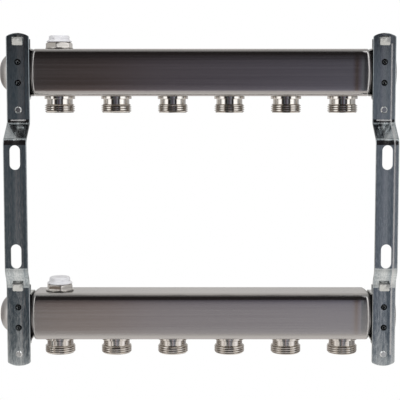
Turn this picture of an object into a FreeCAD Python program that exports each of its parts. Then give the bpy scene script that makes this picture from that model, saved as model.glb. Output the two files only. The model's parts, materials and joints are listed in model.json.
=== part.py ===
"""Heating manifold: two square stainless bars with screwed outlets and manual air vents,
held one above the other by a pair of cranked wall brackets with strap clamps.

Frame: +X along the bars towards the open inlets, +Y away from the wall, +Z up.
The origin lies on the wall plane, midway between the brackets and between their wall slots.
"""
import FreeCAD, Part
import os
import re
import Sketcher

OUTLETS = 6

# Driving sizes in millimetres
SIZES = (
    ("outlet_pitch", 50.0, "axis to axis of neighbouring outlets"),
    ("bar_end_margin", 22.3, "last outlet axis to the end of the square bar"),
    ("bar_width", 41.0, "outside of the square bar"),
    ("bar_corner", 5.5, "outside radius along the bar"),
    ("bar_end_round", 2.2, "outside radius round the ends of the square bar"),
    ("bar_end_crown", 2.5, "fall of the turned end faces from the neck to the square's corners"),
    ("bar_wall", 1.5, "sheet thickness of the bar"),
    ("neck_diameter", 36.0, "outside of the round necks"),
    ("blind_neck_reach", 29.7, "end of the square bar to the tip of the closed neck"),
    ("blind_crown_radius", 4.0, "flat middle of the closed neck"),
    ("inlet_neck_reach", 22.5, "end of the square bar to the mouth of the open neck"),
    ("inlet_bore", 30.3, "crest diameter of the inlet thread"),
    ("inlet_lead_in", 1.0, "chamfer at the mouth of the inlet"),
    ("collar_wall", 1.5, "drawn collar round each screwed hole"),
    ("collar_height", 5.5, "drawn collar above the bar's inner face"),
    ("upper_axis_height", 115.0, "upper bar axis above the middle of the wall slots"),
    ("lower_axis_drop", 97.0, "lower bar axis below the middle of the wall slots"),
    ("strip_width", 20.0, "bracket strip"),
    ("strip_thickness", 2.0, "bracket strip"),
    ("upper_arm_offset", 23.0, "wall plane to the wall side of the upper arm"),
    ("lower_arm_offset", 8.0, "wall plane to the wall side of the lower arm"),
    ("wall_leg_half", 57.0, "half height of the leg that lies on the wall"),
    ("upper_crank_rise", 14.7, "height of the upper crank"),
    ("lower_crank_rise", 9.0, "height of the lower crank"),
    ("upper_arm_end", 34.0, "upper bar axis to the top of the bracket"),
    ("lower_arm_end", 43.0, "lower bar axis to the foot of the bracket"),
    ("strip_end_sagitta", 2.9, "height of the arc at each end of the strip"),
    ("strip_end_corner", 2.0, "corners at the head and foot of the strip"),
    ("strip_edge", 0.8, "rounded edges of the rolled strip"),
    ("upper_bend_radius", 5.0, "inside radius of both bends of the upper crank"),
    ("lower_wall_bend_radius", 10.0, "inside radius of the lower crank's bend at the wall leg"),
    ("lower_arm_bend_radius", 13.0, "inside radius of the lower crank's bend at the arm"),
    ("wall_slot_spacing", 85.0, "middle to middle of the two wall slots"),
    ("wall_slot_width", 9.0, "wall slot"),
    ("wall_slot_length", 21.0, "wall slot, end to end"),
    ("pip_spread", 9.0, "bar axis to each locating pip"),
    ("pip_radius", 2.7, "locating pip at the strip's face"),
    ("pip_height", 1.5, "bump of a pip on the room side"),
    ("pip_depth", 2.2, "dent of a pip on the wall side"),
    ("liner_thickness", 1.0, "rubber liner"),
    ("liner_fit", 0.05, "play on each side of the liner"),
    ("strap_width", 20.5, "clamp strap"),
    ("strap_set", 0.5, "middle of the strip to the middle of the strap, towards the bar"),
    ("strap_thickness", 1.5, "clamp strap"),
    ("strap_bar_gap", 0.7, "end of the square bar to the strap"),
    ("strap_bend", 1.0, "inside radius at the strap's feet"),
    ("strap_upper_foot", 28.6, "bar axis to the top of the strap's wide upper foot"),
    ("strap_lower_foot", 39.0, "bar axis to the tip of the strap's lower foot"),
    ("strap_foot_width", 15.0, "lower foot at the screw"),
    ("strap_shoulder", 2.0, "full width kept below the strap's bend"),
    ("strap_taper", 4.0, "height over which the lower foot narrows"),
    ("hook_width", 8.8, "hook at the top of the strap"),
    ("hook_top", 30.4, "bar axis to the top of the hook"),
    ("hook_tip", 23.4, "bar axis to the folded tip of the hook"),
    ("hook_play", 0.25, "play of the hook in its slot and at its tip"),
    ("hook_stand", 1.5, "strip to the inside of the hook at its fold"),
    ("hook_fold", 1.2, "outside radius at the hook's fold"),
    ("hook_corner", 1.1, "rounded corners at the hook's tip"),
    ("hook_relief_width", 5.8, "notch above the hook slot"),
    ("hook_relief_height", 1.0, "notch above the hook slot"),
    ("screw_drop", 32.4, "bar axis to the clamp screw"),
    ("screw_diameter", 6.0, "clamp screw"),
    ("screw_play", 0.1, "play of the screw in the tapped strip"),
    ("screw_hole_play", 0.4, "play of the screw in the strap"),
    ("screw_head_diameter", 11.0, "pan head"),
    ("screw_head_height", 3.6, "pan head"),
    ("screw_tip_length", 0.9, "screw tip beyond the strip"),
    ("screw_recess_length", 5.0, "cross recess, end to end"),
    ("screw_recess_width", 1.2, "cross recess"),
    ("screw_recess_depth", 1.6, "cross recess"),
    ("spigot_diameter", 20.9, "threaded spigot of an outlet or vent"),
    ("spigot_length", 7.5, "spigot inside the bar"),
    ("spigot_play", 0.1, "play of the spigot in its collar"),
    ("spigot_chamfer", 0.8, "spigot end"),
    ("seal_diameter", 24.0, "outside of a flat seal"),
    ("seal_thickness", 0.8, "flat seal in its recess"),
    ("seal_play", 0.1, "play round a flat seal"),
    ("outlet_flange_diameter", 27.0, "outlet flange"),
    ("outlet_flange_height", 2.5, "outlet flange"),
    ("outlet_neck_diameter", 23.0, "plain neck under the flange"),
    ("outlet_neck_height", 4.5, "plain neck under the flange"),
    ("outlet_thread_diameter", 26.44, "outlet thread over its crests"),
    ("outlet_thread_height", 7.5, "outlet thread with both chamfers"),
    ("outlet_thread_lead", 1.2, "chamfer at each end of the thread"),
    ("outlet_bore", 15.0, "bore of an outlet"),
    ("outlet_mouth", 19.6, "wide end of the sealing cone"),
    ("outlet_cone_depth", 8.5, "sealing cone"),
    ("edge_break", 0.4, "small chamfer on turned edges"),
    ("vent_flange_diameter", 24.3, "vent flange"),
    ("vent_flange_height", 1.4, "vent flange"),
    ("vent_hexagon", 21.0, "vent hexagon across its flats"),
    ("vent_hexagon_height", 4.7, "vent hexagon"),
    ("vent_passage", 3.0, "air passage through the vent"),
    ("vent_seat_level", -2.0, "needle seat, from the bar's top face"),
    ("stem_bore", 10.0, "bore for the stem"),
    ("stem_play", 0.1, "play of the stem in its bore"),
    ("stem_seat_gap", 0.15, "play at the closed needle seat"),
    ("ring_section", 1.3, "stem sealing ring"),
    ("ring_play", 0.05, "play round the sealing ring"),
    ("ring_drop", 2.6, "top of the hexagon to the middle of the sealing ring"),
    ("tenon_diameter", 6.0, "top of the stem inside the knob"),
    ("tenon_height", 3.2, "top of the stem inside the knob"),
    ("tenon_play", 0.05, "play of the tenon in the knob"),
    ("knob_gap", 0.3, "hexagon to the underside of the knob"),
    ("knob_skirt_diameter", 22.0, "rim of the knob's skirt"),
    ("knob_skirt_height", 2.4, "skirt of the knob"),
    ("knob_rim_height", 0.6, "upright rim of the skirt"),
    ("knob_octagon", 17.4, "knob across its flats"),
    ("knob_octagon_height", 3.3, "eight-sided part of the knob"),
    ("knob_edge", 0.7, "chamfer round the top of the knob"),
    ("knob_slot_length", 6.5, "screwdriver slot"),
    ("knob_slot_width", 1.7, "screwdriver slot"),
    ("knob_slot_depth", 1.6, "screwdriver slot"),
)

# Turn of each vent's hexagon, as it was tightened, and of the knobs about the vertical, in degrees
HEXAGON_TURN = {"upper": 22, "lower": 42}
OCTAGON_TURN = 22.5

# Overcut that lets a cut pass cleanly through a face
OVERCUT = 1.0

# Places that several pieces share
HALF_BAR = f"({(OUTLETS - 1) / 2}*outlet_pitch + bar_end_margin)"
CLAMP_RADIUS = "(neck_diameter/2 + liner_thickness + 2*liner_fit)"
BAR_STANDOFF = f"(strip_thickness + {CLAMP_RADIUS})"
BRACKET_PLACE = f"({HALF_BAR} + strap_bar_gap + strap_width/2 + strap_set)"
VENT_TOP = "(vent_flange_height + vent_hexagon_height)"
BARS = (
    ("upper", "upper_axis_height", f"(upper_arm_offset + {BAR_STANDOFF})"),
    ("lower", "-lower_axis_drop", f"(lower_arm_offset + {BAR_STANDOFF})"),
)
SIDES = (("left", "-"), ("right", ""))

doc = FreeCAD.newDocument("heating_manifold")
sheet = doc.addObject("Spreadsheet::Sheet", "sizes")
for row, (alias, size, meaning) in enumerate(SIZES, start=1):
    sheet.set(f"A{row}", meaning)
    sheet.set(f"B{row}", str(size))
    sheet.setAlias(f"B{row}", alias)
doc.recompute()


def bound(formula):
    """Point every size name in a formula at its cell."""
    return re.sub(r"[a-z]+(?:_[a-z]+)+", lambda name: "sizes." + name.group(0), formula)


def measured(formula):
    """Present value of a formula, to sketch near the final place."""
    return float(sheet.evalExpression(bound(formula)))


def new_body(label):
    """Start a named sub-part."""
    body = doc.addObject("PartDesign::Body", label)
    body.Label = label
    return body


def place(piece, x="0", y="0", z="0"):
    """Bind a sub-part's position to the sheet."""
    for axis, formula in zip("xyz", (x, y, z)):
        piece.setExpression(f"Placement.Base.{axis}", bound(formula))


def origin_feature(body, role):
    """One of a body's own origin planes or axes."""
    return next(item for item in body.Origin.OriginFeatures if item.Role == role)


def draw(body, name, plane, corners, lift="0", shift="0"):
    """Closed outline through the corners; a corner with a centre and a turn is reached by an arc."""
    sketch = body.newObject("Sketcher::SketchObject", name)
    sketch.AttachmentSupport = [(origin_feature(body, plane), "")]
    sketch.MapMode = "FlatFace"
    sketch.setExpression("AttachmentOffset.Base.z", bound(lift))
    sketch.setExpression("AttachmentOffset.Base.y", bound(shift))
    spots = [FreeCAD.Vector(measured(corner[0]), measured(corner[1])) for corner in corners]
    start_side = []
    for number, spot in enumerate(spots):
        following = corners[(number + 1) % len(corners)]
        goal = spots[(number + 1) % len(corners)]
        if len(following) == 2:
            sketch.addGeometry(Part.LineSegment(spot, goal), False)
            start_side.append(1)
            continue
        centre = FreeCAD.Vector(measured(following[2]), measured(following[3]))
        first, last = (spot, goal) if following[4] == "left" else (goal, spot)
        circle = Part.Circle(centre, FreeCAD.Vector(0, 0, 1), (spot - centre).Length)
        sketch.addGeometry(Part.ArcOfCircle(circle, circle.parameter(first), circle.parameter(last)), False)
        start_side.append(1 if following[4] == "left" else 2)
    for number, corner in enumerate(corners):
        previous = number - 1 if number else len(corners) - 1
        end_side = 3 - start_side[previous]
        sketch.addConstraint(
            Sketcher.Constraint("Coincident", previous, end_side, number, start_side[number]))
        bind(sketch, "DistanceX", number, start_side[number], corner[0], spots[number].x)
        bind(sketch, "DistanceY", number, start_side[number], corner[1], spots[number].y)
        if len(corner) > 2:
            chord = spots[number] - spots[previous]
            if abs(chord.y) > abs(chord.x):
                bind(sketch, "DistanceX", previous, 3, corner[2], measured(corner[2]))
            else:
                bind(sketch, "DistanceY", previous, 3, corner[3], measured(corner[3]))
    return sketch


def bind(sketch, kind, edge, point, formula, value):
    """Tie one coordinate of a sketch point to the sheet."""
    number = sketch.addConstraint(Sketcher.Constraint(kind, -1, 1, edge, point, value))
    sketch.setExpression(f"Constraints[{number}]", bound(formula))


def disc(body, name, radius, x="0", lift="0", plane="XY_Plane", y="0"):
    """Circle on one of the body's planes."""
    sketch = body.newObject("Sketcher::SketchObject", name)
    sketch.AttachmentSupport = [(origin_feature(body, plane), "")]
    sketch.MapMode = "FlatFace"
    sketch.setExpression("AttachmentOffset.Base.z", bound(lift))
    centre = FreeCAD.Vector(measured(x), measured(y))
    sketch.addGeometry(Part.Circle(centre, FreeCAD.Vector(0, 0, 1), measured(radius)), False)
    bind(sketch, "DistanceX", 0, 3, x, centre.x)
    bind(sketch, "DistanceY", 0, 3, y, centre.y)
    number = sketch.addConstraint(Sketcher.Constraint("Radius", 0, measured(radius)))
    sketch.setExpression(f"Constraints[{number}]", bound(radius))
    return sketch


def extrude(body, kind, sketch, length, middle=False, backwards=False):
    """Pad or pocket a sketch by a bound length."""
    feature = body.newObject(f"PartDesign::{kind}", f"{sketch.Name}_{kind.lower()}")
    feature.Profile = sketch
    feature.setExpression("Length", bound(length))
    feature.Midplane = middle
    feature.Reversed = backwards
    return feature


def revolve(body, kind, sketch, axis="V_Axis"):
    """Turn a sketch all the way round one of its axes."""
    feature = body.newObject(f"PartDesign::{kind}", f"{sketch.Name}_{kind.lower()}")
    feature.Profile = sketch
    feature.ReferenceAxis = (sketch, [axis])
    feature.Angle = 360
    return feature


def round_edges(body, name, base, radius, chosen):
    """Fillet the edges of the base feature that a test picks."""
    doc.recompute()
    names = [f"Edge{n}" for n, edge in enumerate(base.Shape.Edges, start=1) if chosen(edge)]
    fillet = body.newObject("PartDesign::Fillet", name)
    fillet.Base = (base, names)
    fillet.setExpression("Radius", bound(radius))
    return fillet


def rounded_square(width, corner):
    """Corners of a square with rounded corners, centred on the plane's origin."""
    half = f"({width})/2"
    inner = f"(({half}) - ({corner}))"
    steps = []
    for across, up in ((1, 1), (-1, 1), (-1, -1), (1, -1)):
        centre = (f"{across}*{inner}", f"{up}*{inner}")
        on_side = (f"{across}*{half}", f"{up}*{inner}")
        on_top = (f"{across}*{inner}", f"{up}*{half}")
        first, second = (on_side, on_top) if across == up else (on_top, on_side)
        steps.append(first)
        steps.append(second + centre + ("left",))
    return steps


def polygon(flats, sides, turn):
    """Corners of a regular polygon given across its flats, turned by an angle in degrees."""
    reach = f"{flats}/(2*cos({180 / sides}deg))"
    angles = [turn + 360 * number / sides for number in range(sides)]
    return [(f"{reach}*cos({angle}deg)", f"{reach}*sin({angle}deg)") for angle in angles]


def rectangle(x_low, x_high, y_low, y_high):
    """Corners of an upright rectangle."""
    return [(x_low, y_low), (x_high, y_low), (x_high, y_high), (x_low, y_high)]


def on_rim(edge, reach, length):
    """True for a short edge that stays at least a given reach from the X axis."""
    reaches = [(vertex.Y ** 2 + vertex.Z ** 2) ** 0.5 for vertex in edge.Vertexes]
    return edge.Length < length and min(reaches) > reach - 1e-3


def on_outline(edge, half_width, low, high):
    """True for an edge round the strip's outline, but not for one across its thickness."""
    ends = [vertex.Point for vertex in edge.Vertexes]
    if abs(ends[0].x - ends[-1].x) < 1e-4 and abs(ends[0].z - ends[-1].z) < 1e-4:
        return False
    at_side = all(abs(abs(end.x) - half_width) < 1e-4 for end in ends)
    return at_side or all(end.z > high or end.z < low for end in ends)


def across_at(edge, half_width, levels):
    """True for an edge along Y at one of the given heights on either side of a strip."""
    ends = [vertex.Point for vertex in edge.Vertexes]
    flat = abs(ends[0].x - ends[-1].x) < 1e-4 and abs(ends[0].z - ends[-1].z) < 1e-4
    at_side = abs(abs(ends[0].x) - half_width) < 1e-4
    return flat and at_side and any(abs(ends[0].z - level) < 1e-4 for level in levels)


def crowned_block(body, name, width, corner, half, end_round):
    """Square bar with rounded corners, whose turned end faces fall back from the neck to the corners."""
    section = draw(body, f"{name}_section", "YZ_Plane", rounded_square(width, corner))
    extrude(body, "Pad", section, f"2*{half}", middle=True)
    seat = "(neck_diameter/2 - edge_break)"
    corner_reach = "(bar_width*sqrt(0.5))"
    for side, sign in SIDES:
        crown = draw(body, f"{name}_{side}_crown", "XY_Plane", [
            (f"{sign}{half}", seat),
            (f"{sign}({half} + {OVERCUT})", seat),
            (f"{sign}({half} + {OVERCUT})", corner_reach),
            (f"{sign}({half} - bar_end_crown)", corner_reach),
        ])
        turned = revolve(body, "Groove", crown, "H_Axis")
    reach = measured(f"({width})/2")
    length = measured(half)
    round_edges(body, f"{name}_end_rounds", turned, end_round, lambda edge: on_rim(edge, reach, length))


def along_x_at(edge, spots):
    """True for an edge along X that passes one of the given places in the YZ plane."""
    first, last = edge.Vertexes[0].Point, edge.Vertexes[-1].Point
    if abs(first.x - last.x) < 1e-3:
        return False
    return any(abs(first.y - y) < 1e-3 and abs(first.z - z) < 1e-3 for y, z in spots)


def make_bar(level, height, depth):
    """Square bar with a closed round neck on the left and an open threaded neck on the right."""
    body = new_body(f"{level}_bar")
    crowned_block(body, f"{level}_bar", "bar_width", "bar_corner", HALF_BAR, "bar_end_round")

    # Round necks, drawn as one turned core through the bar
    tip = f"-({HALF_BAR} + blind_neck_reach)"
    mouth = f"({HALF_BAR} + inlet_neck_reach)"
    knuckle = "(neck_diameter/2 - blind_crown_radius)"
    necks = draw(body, f"{level}_bar_necks", "XY_Plane", [
        (tip, "0"),
        (mouth, "0"),
        (mouth, "neck_diameter/2 - edge_break"),
        (f"{mouth} - edge_break", "neck_diameter/2"),
        (f"{tip} + {knuckle}", "neck_diameter/2"),
        (tip, "blind_crown_radius", f"{tip} + {knuckle}", "blind_crown_radius", "left"),
    ])
    revolve(body, "Revolution", necks, "H_Axis")

    # Hollow of the square bar: a second crowned block, one wall smaller, is taken out of it
    core = doc.addObject("PartDesign::Body", f"{level}_bar_core")
    crowned_block(core, f"{level}_bar_core", "(bar_width - 2*bar_wall)", "(bar_corner - bar_wall)",
                  f"({HALF_BAR} - bar_wall)", "bar_end_round - bar_wall")
    hollow = body.newObject("PartDesign::Boolean", f"{level}_bar_hollow")
    hollow.setObjects([core])
    hollow.Type = "Cut"

    # Hollow of both necks; the lead-in leaves half of the rim that the outer chamfer leaves
    inner_tip = f"({tip} + bar_wall)"
    lead_in = "min(inlet_lead_in; ((neck_diameter - inlet_bore)/2 - edge_break)/2)"
    bore = draw(body, f"{level}_bar_bore", "XY_Plane", [
        (inner_tip, "0"),
        (f"{mouth} + {OVERCUT}", "0"),
        (f"{mouth} + {OVERCUT}", f"inlet_bore/2 + {lead_in} + {OVERCUT}"),
        (f"{mouth} - {lead_in}", "inlet_bore/2"),
        ("0", "inlet_bore/2"),
        ("0", "neck_diameter/2 - bar_wall"),
        (f"{tip} + {knuckle}", "neck_diameter/2 - bar_wall"),
        (inner_tip, "blind_crown_radius", f"{tip} + {knuckle}", "blind_crown_radius", "left"),
    ])
    revolve(body, "Groove", bore, "H_Axis")

    # Drawn collars and screwed holes for the outlets, repeated along the bar
    first = f"{-(OUTLETS - 1) / 2}*outlet_pitch"
    collar_radius = "spigot_diameter/2 + spigot_play + collar_wall"
    hole_radius = "spigot_diameter/2 + spigot_play"
    collar_length = "bar_wall + collar_height"
    collar = extrude(body, "Pad", disc(body, f"{level}_bar_collar", collar_radius, first, "-bar_width/2"),
                     collar_length)
    row_of(body, f"{level}_bar_collars", collar)
    hole = extrude(body, "Pocket", disc(body, f"{level}_bar_hole", hole_radius, first, "-bar_width/2"),
                   f"{collar_length} + {OVERCUT}", backwards=True)
    row_of(body, f"{level}_bar_holes", hole)

    # Collar and hole for the air vent, above the first outlet
    extrude(body, "Pad", disc(body, f"{level}_bar_vent_collar", collar_radius, first, "bar_width/2"),
            collar_length, backwards=True)
    extrude(body, "Pocket", disc(body, f"{level}_bar_vent_hole", hole_radius, first, "bar_width/2"),
            f"{collar_length} + {OVERCUT}")
    place(body, "0", depth, height)
    return body


def row_of(body, name, feature):
    """Repeat a feature once for every outlet along the bar."""
    pattern = body.newObject("PartDesign::LinearPattern", name)
    pattern.Originals = [feature]
    pattern.Direction = (origin_feature(body, "X_Axis"), [""])
    pattern.Occurrences = OUTLETS
    pattern.setExpression("Length", bound(f"{OUTLETS - 1}*outlet_pitch"))
    body.Tip = pattern
    return pattern


def make_outlet(level, number, height, depth):
    """Turned outlet nipple: spigot, flange with a seal recess, neck, thread and sealing cone."""
    body = new_body(f"{level}_outlet_{number}")
    thread_top = "(outlet_flange_height + outlet_neck_height)"
    end = f"({thread_top} + outlet_thread_height)"
    crest = "outlet_thread_diameter/2"
    flange = "outlet_flange_diameter/2"
    profile = draw(body, f"{body.Name}_profile", "XZ_Plane", [
        ("outlet_bore/2", "spigot_length"),
        ("spigot_diameter/2 - spigot_chamfer", "spigot_length"),
        ("spigot_diameter/2", "spigot_length - spigot_chamfer"),
        ("spigot_diameter/2", "-seal_thickness"),
        ("seal_diameter/2 + seal_play", "-seal_thickness"),
        ("seal_diameter/2 + seal_play", "0"),
        (f"{flange} - edge_break", "0"),
        (flange, "-edge_break"),
        (flange, "-outlet_flange_height + edge_break"),
        (f"{flange} - edge_break", "-outlet_flange_height"),
        ("outlet_neck_diameter/2", "-outlet_flange_height"),
        ("outlet_neck_diameter/2", f"-{thread_top}"),
        (f"{crest} - outlet_thread_lead", f"-{thread_top}"),
        (crest, f"-({thread_top} + outlet_thread_lead)"),
        (crest, f"-({end} - outlet_thread_lead)"),
        (f"{crest} - outlet_thread_lead", f"-{end}"),
        ("outlet_mouth/2", f"-{end}"),
        ("outlet_bore/2", f"-({end} - outlet_cone_depth)"),
    ])
    revolve(body, "Revolution", profile)
    place(body, f"{number - (OUTLETS + 1) / 2}*outlet_pitch", depth, f"{height} - bar_width/2")
    return body


def make_seal(label, x, depth, height, top):
    """Flat ring seal in the recess under an outlet or vent flange."""
    body = new_body(label)
    low, high = (top, f"{top} + seal_thickness")
    ring = draw(body, f"{label}_section", "XZ_Plane", rectangle(
        "spigot_diameter/2 + seal_play", "seal_diameter/2", low, high))
    revolve(body, "Revolution", ring)
    place(body, x, depth, height)
    return body


def make_vent_body(level, x, depth, height):
    """Nickel-plated vent body: spigot, round flange, hexagon and bored needle seat."""
    body = new_body(f"{level}_vent_body")
    flange = "vent_flange_diameter/2"
    turned = draw(body, f"{level}_vent_turned", "XZ_Plane", [
        ("0", "-spigot_length"),
        ("spigot_diameter/2 - spigot_chamfer", "-spigot_length"),
        ("spigot_diameter/2", "-spigot_length + spigot_chamfer"),
        ("spigot_diameter/2", "seal_thickness"),
        ("seal_diameter/2 + seal_play", "seal_thickness"),
        ("seal_diameter/2 + seal_play", "seal_thickness/2"),
        (flange, "seal_thickness/2"),
        (flange, "vent_flange_height"),
        ("0", "vent_flange_height"),
    ])
    revolve(body, "Revolution", turned)
    hexagon = draw(body, f"{level}_vent_hexagon", "XY_Plane", polygon("vent_hexagon", 6, HEXAGON_TURN[level]),
                   lift="vent_flange_height")
    extrude(body, "Pad", hexagon, "vent_hexagon_height")

    # Chamfer that turning leaves on the hexagon's top corners
    beyond = "(vent_hexagon/(2*cos(30deg)) + edge_break)"
    chamfer = draw(body, f"{level}_vent_chamfer", "XZ_Plane", [
        ("vent_hexagon/2 - edge_break", f"{VENT_TOP}"),
        (beyond, f"{VENT_TOP} - ({beyond} - vent_hexagon/2 + edge_break)*tan(30deg)"),
        (beyond, f"{VENT_TOP} + {OVERCUT}"),
        ("vent_hexagon/2 - edge_break", f"{VENT_TOP} + {OVERCUT}"),
    ])
    revolve(body, "Groove", chamfer)

    # Air passage, needle seat and bore for the stem
    bore = draw(body, f"{level}_vent_bore", "XZ_Plane", [
        ("0", f"-spigot_length - {OVERCUT}"),
        ("vent_passage/2", f"-spigot_length - {OVERCUT}"),
        ("vent_passage/2", "vent_seat_level"),
        ("stem_bore/2", "vent_seat_level + (stem_bore - vent_passage)/2"),
        ("stem_bore/2", f"{VENT_TOP} + {OVERCUT}"),
        ("0", f"{VENT_TOP} + {OVERCUT}"),
    ])
    revolve(body, "Groove", bore)
    place(body, x, depth, height)
    return body


def make_vent_stem(level, x, depth, height):
    """Needle stem with a groove for its sealing ring and a tenon that carries the knob."""
    body = new_body(f"{level}_vent_stem")
    shaft = "(stem_bore/2 - stem_play)"
    groove = f"({shaft} - ring_section)"
    needle = "(vent_seat_level + stem_seat_gap)"
    groove_half = "(ring_section/2 + ring_play)"
    shoulder = f"({VENT_TOP} + knob_gap)"
    profile = draw(body, f"{level}_vent_stem_profile", "XZ_Plane", [
        ("0", needle),
        ("vent_passage/2", needle),
        (shaft, f"{needle} + {shaft} - vent_passage/2"),
        (shaft, f"{VENT_TOP} - ring_drop - {groove_half}"),
        (groove, f"{VENT_TOP} - ring_drop - {groove_half}"),
        (groove, f"{VENT_TOP} - ring_drop + {groove_half}"),
        (shaft, f"{VENT_TOP} - ring_drop + {groove_half}"),
        (shaft, shoulder),
        ("tenon_diameter/2", shoulder),
        ("tenon_diameter/2", f"{shoulder} + tenon_height"),
        ("0", f"{shoulder} + tenon_height"),
    ])
    revolve(body, "Revolution", profile)
    place(body, x, depth, height)
    return body


def make_stem_ring(level, x, depth, height):
    """Rubber ring in the stem's groove."""
    label = f"{level}_vent_stem_ring"
    ring = doc.addObject("Part::Torus", label)
    ring.Label = label
    ring.setExpression("Radius1", bound("stem_bore/2 - stem_play - ring_section/2"))
    ring.setExpression("Radius2", bound("ring_section/2 - ring_play"))
    place(ring, x, depth, f"{height} + {VENT_TOP} - ring_drop")
    return ring


def make_knob(level, x, depth, height):
    """White plastic knob: conical skirt, eight flats, screwdriver slot and a socket for the tenon."""
    body = new_body(f"{level}_vent_knob")
    foot = f"({VENT_TOP} + knob_gap)"
    shelf = f"({foot} + knob_skirt_height)"
    top = f"({shelf} + knob_octagon_height)"
    skirt = draw(body, f"{level}_knob_skirt", "XZ_Plane", [
        ("0", foot),
        ("knob_skirt_diameter/2", foot),
        ("knob_skirt_diameter/2", f"{foot} + knob_rim_height"),
        ("knob_octagon/2", shelf),
        ("0", shelf),
    ])
    revolve(body, "Revolution", skirt)
    octagon = draw(body, f"{level}_knob_flats", "XY_Plane", polygon("knob_octagon", 8, OCTAGON_TURN),
                   lift=shelf)
    extrude(body, "Pad", octagon, "knob_octagon_height")

    # Turned-off rim round the top of the flats
    beyond = "(knob_octagon/(2*cos(22.5deg)) + edge_break)"
    inner = "(knob_octagon/2 - knob_edge)"
    rim = draw(body, f"{level}_knob_rim", "XZ_Plane", [
        (inner, top),
        (beyond, f"{top} - {beyond} + {inner}"),
        (beyond, f"{top} + {OVERCUT}"),
        (inner, f"{top} + {OVERCUT}"),
    ])
    revolve(body, "Groove", rim)
    slot = draw(body, f"{level}_knob_slot", "XY_Plane", rectangle(
        "-knob_slot_length/2", "knob_slot_length/2", "-knob_slot_width/2", "knob_slot_width/2"), lift=top)
    extrude(body, "Pocket", slot, "knob_slot_depth")
    socket = disc(body, f"{level}_knob_socket", "tenon_diameter/2 + tenon_play", lift=foot)
    extrude(body, "Pocket", socket, "tenon_height + tenon_play", backwards=True)
    place(body, x, depth, height)
    return body


def make_bracket(side, sign):
    """Cranked strip: a wall leg with two slots and an arm for each bar, set at its own distance."""
    label = f"{side}_bracket"
    body = new_body(label)
    upper_turn = "strip_thickness*tan(atan(upper_arm_offset/upper_crank_rise)/2)"
    lower_turn = "strip_thickness*tan(atan(lower_arm_offset/lower_crank_rise)/2)"
    upper_bend = "(wall_leg_half + upper_crank_rise)"
    lower_bend = "(-wall_leg_half - lower_crank_rise)"
    head = "(upper_axis_height + upper_arm_end)"
    foot = "(-lower_axis_drop - lower_arm_end)"
    wall_side = [
        ("lower_arm_offset", foot),
        ("lower_arm_offset", lower_bend),
        ("0", "-wall_leg_half"),
        ("0", "wall_leg_half"),
        ("upper_arm_offset", upper_bend),
        ("upper_arm_offset", head),
    ]
    room_side = [
        ("upper_arm_offset + strip_thickness", head),
        ("upper_arm_offset + strip_thickness", f"{upper_bend} - {upper_turn}"),
        ("strip_thickness", f"wall_leg_half - {upper_turn}"),
        ("strip_thickness", f"-wall_leg_half + {lower_turn}"),
        ("lower_arm_offset + strip_thickness", f"{lower_bend} + {lower_turn}"),
        ("lower_arm_offset + strip_thickness", foot),
    ]
    side_view = draw(body, f"{label}_side_view", "YZ_Plane", wall_side + room_side)
    strip = extrude(body, "Pad", side_view, "strip_width", middle=True)

    # Bends, tight on the hollow side and wider by the sheet on the other
    bends = (
        ("lower_arm", wall_side[1], room_side[4], "lower_arm_bend_radius"),
        ("lower_wall", room_side[3], wall_side[2], "lower_wall_bend_radius"),
        ("upper_wall", room_side[2], wall_side[3], "upper_bend_radius"),
        ("upper_arm", wall_side[4], room_side[1], "upper_bend_radius"),
    )
    for name, hollow, outer, radius in bends:
        faces = (("hollow", hollow, radius), ("outer", outer, f"{radius} + strip_thickness"))
        for face, corner, size in faces:
            spots = [(measured(corner[0]), measured(corner[1]))]
            strip = round_edges(body, f"{label}_{name}_{face}", strip, size,
                                lambda edge: along_x_at(edge, spots))

    # Shallow arcs at the head and the foot
    arc_radius = "((strip_width/2)^2 + strip_end_sagitta^2)/(2*strip_end_sagitta)"
    through = f"upper_arm_offset + strip_thickness + {OVERCUT}"
    for name, end, way, turn in (("head", head, "", "right"), ("foot", foot, "-", "left")):
        level = f"{end} - ({way}strip_end_sagitta)"
        beyond = f"{end} + ({way}{OVERCUT})"
        arc = draw(body, f"{label}_{name}_arc", "XZ_Plane", [
            ("-strip_width/2", level),
            ("strip_width/2", level, "0", f"{end} - ({way}{arc_radius})", turn),
            ("strip_width/2", beyond),
            ("-strip_width/2", beyond),
        ])
        strip = extrude(body, "Pocket", arc, through)

    # Rounded corners at both ends, then rounded edges all round
    half_width = measured("strip_width/2")
    corner_levels = [measured(f"{head} - strip_end_sagitta"), measured(f"{foot} + strip_end_sagitta")]
    corners = round_edges(body, f"{label}_corners", strip, "strip_end_corner",
                          lambda edge: across_at(edge, half_width, corner_levels))
    high = measured(f"{head} - strip_end_sagitta - 2*strip_end_corner")
    low = measured(f"{foot} + strip_end_sagitta + 2*strip_end_corner")
    round_edges(body, f"{label}_edges", corners, "strip_edge",
                lambda edge: on_outline(edge, half_width, low, high))

    # Obround slots in the wall leg
    straight = "(wall_slot_length - wall_slot_width)/2"
    for name, way in (("upper", ""), ("lower", "-")):
        middle = f"({way}wall_slot_spacing/2)"
        low_centre = f"{middle} - {straight}"
        high_centre = f"{middle} + {straight}"
        slot = draw(body, f"{label}_{name}_wall_slot", "XZ_Plane", [
            ("wall_slot_width/2", low_centre, "0", low_centre, "left"),
            ("wall_slot_width/2", high_centre),
            ("-wall_slot_width/2", high_centre, "0", high_centre, "left"),
            ("-wall_slot_width/2", low_centre),
        ])
        extrude(body, "Pocket", slot, f"strip_thickness + {OVERCUT}")

    for level, height, arm in (("upper", "upper_axis_height", "upper_arm_offset"),
                               ("lower", "-lower_axis_drop", "lower_arm_offset")):
        add_clamp_features(body, f"{label}_{level}", height, arm)
    place(body, f"{sign}{BRACKET_PLACE}")
    return body


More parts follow.
